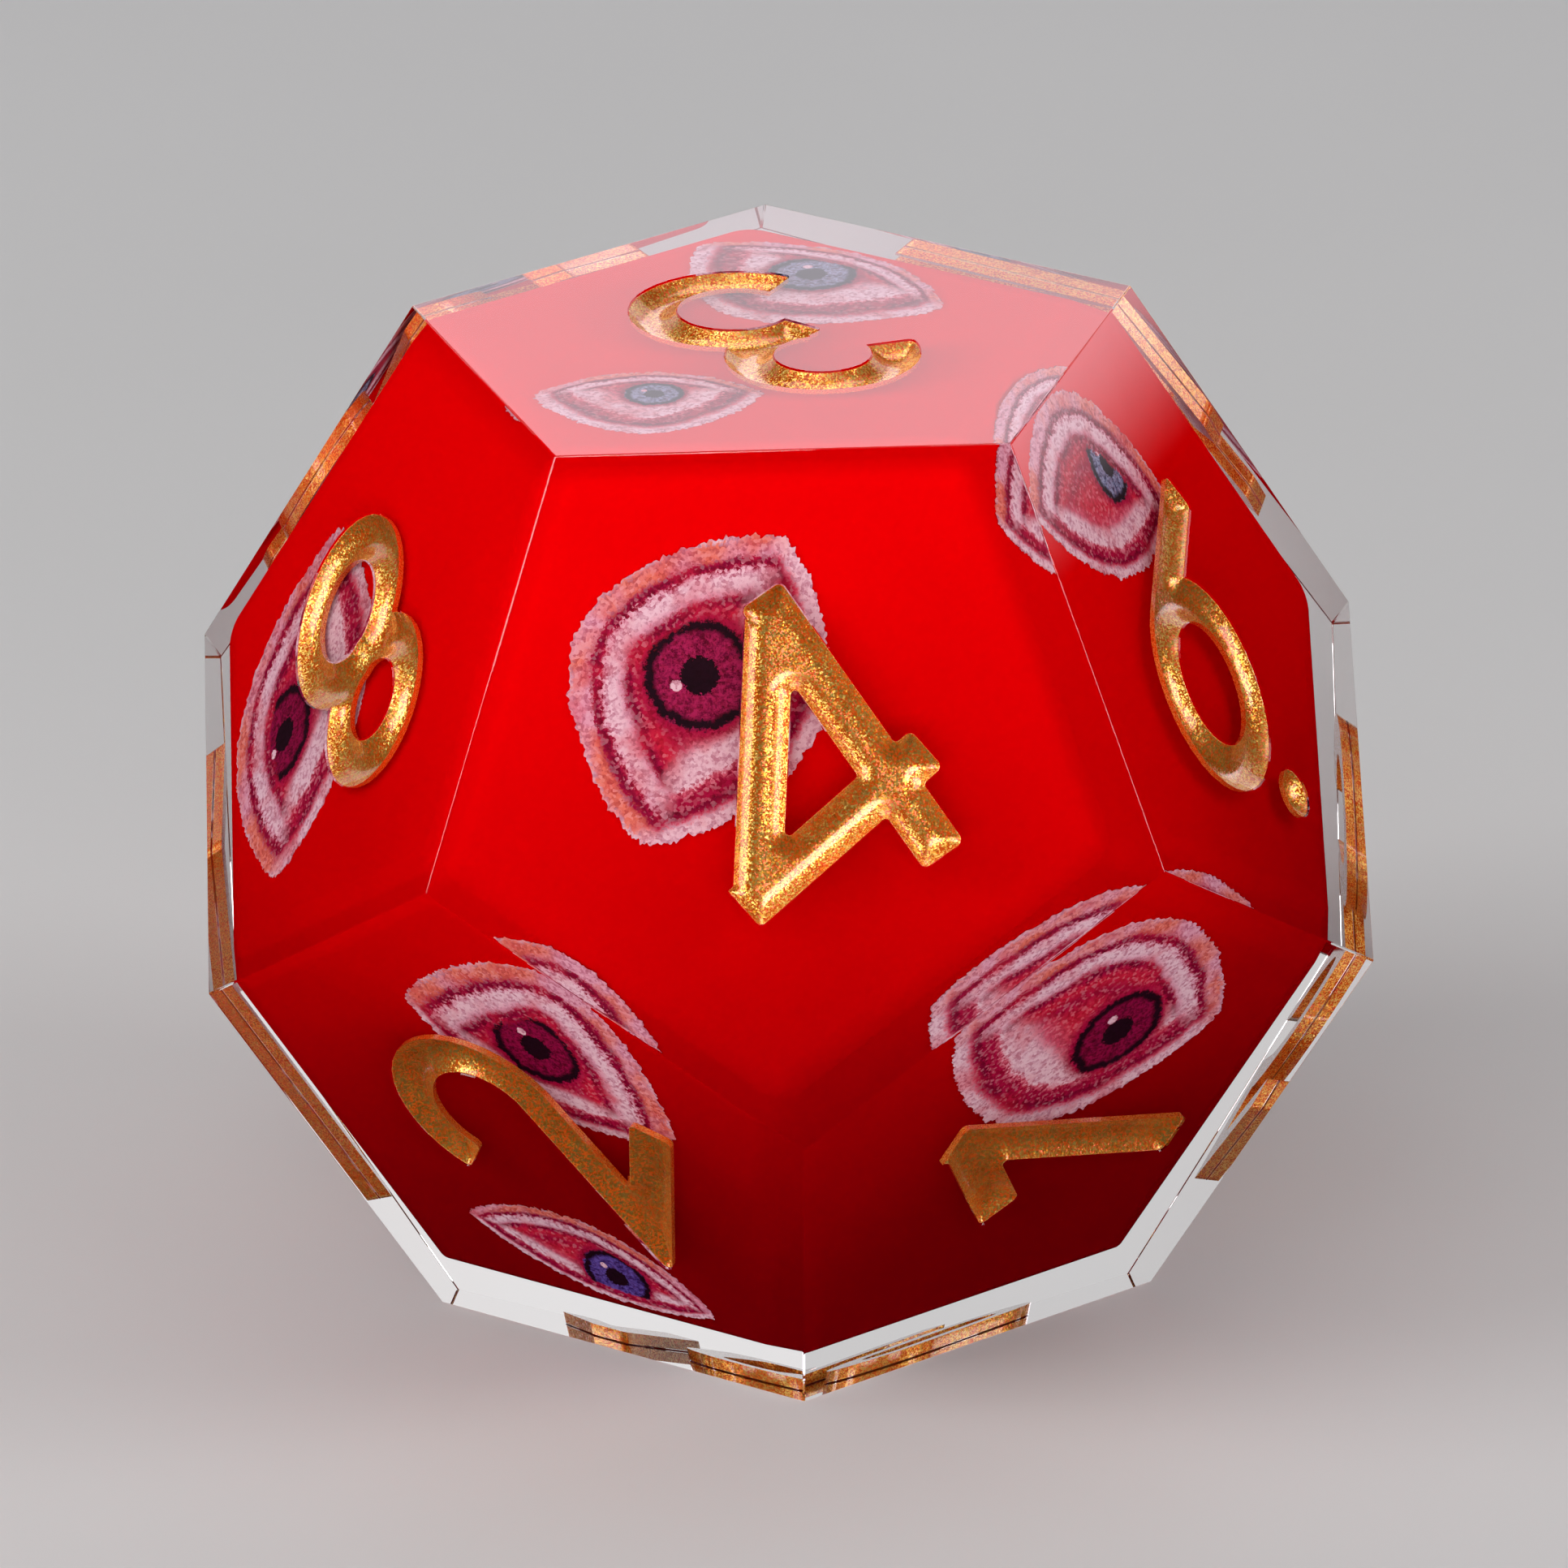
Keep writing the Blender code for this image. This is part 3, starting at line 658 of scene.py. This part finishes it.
def make_inks():
    """The gold ink, and the recess that each piece of it lies in."""
    gold = gold_ink_material()
    recesses = []
    for node in sorted(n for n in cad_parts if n.startswith("ink_")):
        matrix = face_matrix(number_of(node), CENTRE, FACE_TO_FACE / 2)
        outline = softened(ink_outline(node, matrix), CORNER_RADIUS)
        rim = finer(grown(outline, INK_GAP + INK_BITE), INK_GRID)
        points, faces = stacked([(rim, -RECESS_DEPTH - INK_BITE), (rim, -INK_TOP)], hollow_surface(rim))
        name = "gold_" + node
        ink = add_object(name, mesh_from(name, points, faces), matrix)
        ink.data.shade_smooth()
        ink.data.set_sharp_from_angle(angle=math.radians(INK_SHARP_ANGLE))
        settle(ink, gold, "gold_ink", node)
        recess = stacked([(grown(outline, INK_GAP - RIM_CHAMFER), -RECESS_DEPTH),
                          (grown(outline, INK_GAP), -RECESS_DEPTH + RIM_CHAMFER),
                          (grown(outline, INK_GAP), -RIM_CHAMFER),
                          (grown(outline, INK_GAP + RIM_CHAMFER), 0.0),
                          (grown(outline, INK_GAP + RIM_CHAMFER), CUTTER_PROUD)])
        recesses.append(([matrix @ Vector(p) for p in recess[0]], recess[1]))
    return recesses


def make_resin(recesses):
    """One seamless clear body: the dodecahedron less every recess. It is cut in millimetres, because
    the cut fails on a mesh this small in metres."""
    points, faces = [], []
    for more_points, more_faces in recesses:
        faces += [[len(points) + k for k in f] for f in more_faces]
        points += [p / MM for p in more_points]
    cutter = add_object("recess_cutter", mesh_from("recess_cutter", points, faces))
    shape = dodecahedron("resin_blank", (FACE_TO_FACE / 2 - RESIN_TRIM) / MM, RESIN_BEVEL / MM)
    shape.transform(Matrix.Translation(CENTRE / MM))
    blank = add_object("resin_blank", shape)
    cut = blank.modifiers.new("recesses", "BOOLEAN")
    cut.operation, cut.solver, cut.object = "DIFFERENCE", "MANIFOLD", cutter
    bpy.context.view_layer.update()
    mesh = bpy.data.meshes.new_from_object(blank.evaluated_get(bpy.context.evaluated_depsgraph_get()))
    mesh.transform(Matrix.Scale(MM, 4))
    mesh.name = "clear_resin"
    for spent in (blank, cutter):
        bpy.data.objects.remove(spent)
    mesh.shade_smooth()
    mesh.set_sharp_from_angle(angle=math.radians(RESIN_SHARP_ANGLE))
    resin = add_object("clear_resin", mesh)
    settle(resin, clear_resin_material(), "clear_resin", "clear_body", "clear_base_layer")


def make_core():
    """The red core, with rounded edges, which are sharper round its foot."""
    core = add_object("core", dodecahedron("core", CORE_INRADIUS), Matrix.Translation(CORE_CENTRE))
    weights = core.data.attributes.new("bevel_weight_edge", "FLOAT", "EDGE")
    for edge, weight in zip(core.data.edges, weights.data):
        heights = [core.data.vertices[v].co.z for v in edge.vertices]
        weight.value = CORE_FOOT_ROUNDING / CORE_ROUNDING if at_foot(heights, CORE_INRADIUS) else 1.0
    rounding = core.modifiers.new("rounded edges", "BEVEL")
    rounding.width = CORE_ROUNDING
    rounding.segments = CORE_ROUNDING_STEPS
    rounding.limit_method = "WEIGHT"
    rounding.harden_normals = True
    core.data.shade_smooth()
    settle(core, red_resin_material(), "red_resin", "red_core")


def eye_outline(corner_a, corner_b, upper, lower):
    """Points round an almond, and for each whether it is on the upper lid."""
    along = corner_b - corner_a
    side = np.array([-along[1], along[0]]) / np.linalg.norm(along)
    t = np.arange(LID_POINTS) / LID_POINTS
    t = (1 - np.cos(math.pi * t)) / 2
    rise = np.sin(math.pi * t) ** LID_FULLNESS
    above = corner_a + np.outer(t, along) + np.outer(rise * upper, side)
    below = corner_b - np.outer(t, along) - np.outer(rise * lower, side)
    return np.vstack([above, below])


def torn(outline, centre, seed):
    """The outline with a frayed edge."""
    frayed = []
    for p in outline:
        here = Vector((p[0], p[1], seed))
        wander = sum(strength * noise.noise(here * fineness) for strength, fineness in FRAYS)
        away = (p - centre) / np.linalg.norm(p - centre)
        frayed.append(p + away * RAGGED * wander)
    return np.array(frayed)


def film_rim(clean, face, seed):
    """The middle of a film and its torn rim, kept within its face of the core."""
    apothem = (CORE_INRADIUS / FACE_TO_FACE * 2) / (2 * math.tan(math.radians(36))) - FILM_MARGIN / EDGE
    first = 90 if FACES[face][0] in ("upper", "bottom") else -90
    sides = [np.array([math.cos(math.radians(first + 72 * k)), math.sin(math.radians(first + 72 * k))])
             for k in range(5)]
    centre = clean.mean(0)
    centre = centre * min([1.0] + [0.9 * apothem / (e @ centre) for e in sides if e @ centre > 0])
    rim = torn(clean, centre, seed)
    for k, p in enumerate(rim):
        out = p - centre
        fit = min([1.0] + [(apothem - e @ centre) / (e @ out) for e in sides if e @ out > 0])
        rim[k] = centre + out * fit
    return centre, rim


def film_mesh(name, centre, rim):
    """A thin film made of rings about its middle, and the flat places of its points."""
    rings = [(r + 1) / FILM_RINGS for r in range(FILM_RINGS)]
    flat = np.vstack([[centre]] + [centre + (rim - centre) * r for r in rings])
    count = len(rim)
    following = [(k, (k + 1) % count) for k in range(count)]
    faces = [[0, 1 + k, 1 + after] for k, after in following]
    for r in range(FILM_RINGS - 1):
        low, high = 1 + r * count, 1 + (r + 1) * count
        faces += [[low + k, high + k, high + after, low + after] for k, after in following]
    last, under = 1 + (FILM_RINGS - 1) * count, len(flat)
    faces += [[last + k, under + k, under + after, last + after] for k, after in following]
    faces.append([under + k for k in range(count)])
    points = [(x * EDGE, y * EDGE, FILM_HIGH) for x, y in flat]
    points += [(x * EDGE, y * EDGE, FILM_LOW) for x, y in rim]
    return mesh_from(name, points, faces), np.vstack([flat, rim])


def set_vectors(mesh, label, x, y):
    """A vector attribute on the points of a mesh, with z left at 0."""
    vectors = np.stack((x, y, np.zeros(len(x))), 1).astype(np.float32)
    mesh.attributes.new(label, "FLOAT_VECTOR", "POINT").data.foreach_set("vector", vectors.ravel())


def make_eye(index, name):
    """A film, with the distances from its lids and the place about its iris that its picture needs."""
    eye = Eye(*EYES[name])
    corner_a, corner_b = np.array(eye.corner_a), np.array(eye.corner_b)
    clean = eye_outline(corner_a, corner_b, eye.upper, eye.lower)
    mesh, places = film_mesh(name, *film_rim(clean, eye.face, 7.3 * index))
    to_upper, to_lower = [
        np.linalg.norm(places[:, None, :] - lid[None, :, :], axis=2).min(1) * usual / height
        for lid, usual, height in ((clean[:LID_POINTS + 1], UPPER_LID, eye.upper),
                                   (clean[LID_POINTS:], LOWER_LID, eye.lower))]
    set_vectors(mesh, "lids", to_upper, to_lower)
    along = (corner_b - corner_a) / np.linalg.norm(corner_b - corner_a)
    side = np.array([-along[1], along[0]])
    about = places - np.array(eye.iris_at)
    set_vectors(mesh, "iris", about @ along / eye.iris_radius, about @ side / eye.iris_radius)
    piece = add_object("film_" + name, mesh, face_matrix(eye.face, CORE_CENTRE, CORE_INRADIUS))
    settle(piece, eye_film_material(name, eye.iris), "printed_film", name)


# ---------------------------------------------------------------- stage

def make_floor():
    """A pale floor. It isn't mirrored, so that the resin keeps its depth."""
    bm = bmesh.new()
    bmesh.ops.create_circle(bm, cap_ends=True, segments=96, radius=FLOOR_RADIUS)
    mesh = bpy.data.meshes.new("floor")
    bm.to_mesh(mesh)
    bm.free()
    floor = add_object("floor", mesh, Matrix.Translation((0, 0, FLOOR_Z - FLOOR_GAP)))
    made = new_material("floor")
    tree = made.node_tree
    colour = ramp(tree, grain(tree, millimetres(tree), 0.02), FLOOR_TONES)
    output(tree, add(tree, "BsdfPrincipled", {"Base Color": colour, "Roughness": 0.9,
                                              "Specular IOR Level": 0.1}).outputs[0])
    mesh.materials.append(made)
    floor.visible_glossy = False


def towards(azimuth, elevation, distance):
    """A place at a distance from the die: azimuth 0 in front of it and 90 to its right, in degrees."""
    a, e = math.radians(azimuth), math.radians(elevation)
    return CENTRE + distance * Vector((math.sin(a) * math.cos(e), -math.cos(a) * math.cos(e), math.sin(e)))


def softbox(name, azimuth, elevation, distance, width, height, brightness, colour):
    """A rectangular lamp that faces the die. It keeps its brightness when its size is changed."""
    data = bpy.data.lights.new(name, "AREA")
    data.shape, data.size, data.size_y = "RECTANGLE", width, height
    data.energy, data.color = brightness * width * height * math.pi, colour
    light = bpy.data.objects.new(name, data)
    bpy.context.scene.collection.objects.link(light)
    light.location = towards(azimuth, elevation, distance)
    light.rotation_euler = (CENTRE - light.location).to_track_quat("-Z", "Y").to_euler()
    return light


def panel_material(foot):
    """A white glow that fades at the foot of the panel, with a patch in the middle and one at a side."""
    made = new_material("panel")
    tree = made.node_tree
    across, height, _ = add(tree, "SeparateXYZ", {0: add(tree, "TexCoord").outputs["Object"]}).outputs
    middle_patch = fade(tree, maths(tree, "ABSOLUTE", across), *MIDDLE_PATCH)
    side_patch = maths(tree, "MULTIPLY", fade(tree, across, *SIDE_PATCH),
                       fade(tree, height, *SIDE_PATCH_HEIGHT))
    lit = maths(tree, "MAXIMUM", middle_patch, side_patch)
    rest = remap(tree, across, *PANEL_RISE, PANEL_DIM, PANEL_HALF_DIM)
    glow = add(tree, "Mix", {"Factor": lit, "A": rest, "B": PANEL_BRIGHT}, data_type="FLOAT").outputs[0]
    glow = maths(tree, "MULTIPLY", glow, fade(tree, height, foot + PANEL_FADE, foot))
    colour = mixed(tree, lit, PANEL_COLOUR, PATCH_COLOUR)
    output(tree, add(tree, "Emission", {"Color": colour, "Strength": glow}).outputs[0])
    return made


def make_panel():
    """A wide white panel that glows behind the die and fades at its foot. It is brightest in the middle,
    which the top of the die mirrors, and low on one side, which the right of the die mirrors. The rest
    shines through the edges of the resin, more on the left of the die than on the right."""
    middle = towards(PANEL_AZIMUTH, 0, PANEL_DISTANCE)
    turn = Matrix.Rotation(math.radians(180 + PANEL_AZIMUTH), 4, "Z")
    upright = Matrix.Rotation(math.radians(90), 4, "X")
    wide, low, high = PANEL_WIDTH / 2, PANEL_FOOT - PANEL_FADE / 2, PANEL_TOP
    corners = [(-wide, low, 0), (wide, low, 0), (wide, high, 0), (-wide, high, 0)]
    panel = add_object("panel", mesh_from("panel", corners, [[0, 1, 2, 3]]),
                       Matrix.Translation((middle.x, middle.y, FLOOR_Z)) @ turn @ upright)
    panel.data.materials.append(panel_material(low))


def make_lights():
    """Lamps for the core and the films, others for highlights only, and a faint light all round that
    isn't mirrored."""
    for name, settings in LAMPS.items():
        lamp = softbox(name, *settings)
        if name in HIGHLIGHT_LAMPS:
            lamp.visible_diffuse = False
            lamp.visible_transmission = False
        if name in UNMIRRORED_LAMPS:
            lamp.visible_glossy = False
    world = bpy.data.worlds.new("studio")
    bpy.context.scene.world = world
    world.use_nodes = True
    background = world.node_tree.nodes["Background"]
    background.inputs["Color"].default_value = WORLD_COLOUR
    background.inputs["Strength"].default_value = WORLD_STRENGTH
    world.cycles_visibility.glossy = False
    bpy.context.scene.view_settings.view_transform = "Standard"


def make_camera():
    data = bpy.data.cameras.new("camera")
    data.lens, data.sensor_width = CAMERA_LENS, CAMERA_SENSOR
    data.clip_start, data.clip_end = CAMERA_CLIP
    camera = bpy.data.objects.new("camera", data)
    bpy.context.scene.collection.objects.link(camera)
    place = towards(CAMERA_AZIMUTH, CAMERA_ELEVATION, CAMERA_DISTANCE) + AIM - CENTRE
    aimed = (AIM - place).to_track_quat("-Z", "Y").to_matrix().to_4x4()
    camera.matrix_world = Matrix.Translation(place) @ aimed @ Matrix.Rotation(CAMERA_ROLL, 4, "Z")
    bpy.context.scene.camera = camera


make_camera()
make_resin(make_inks())
make_core()
for index, name in enumerate(EYES):
    make_eye(index, name)
make_floor()
make_panel()
make_lights()

bpy.context.view_layer.update()
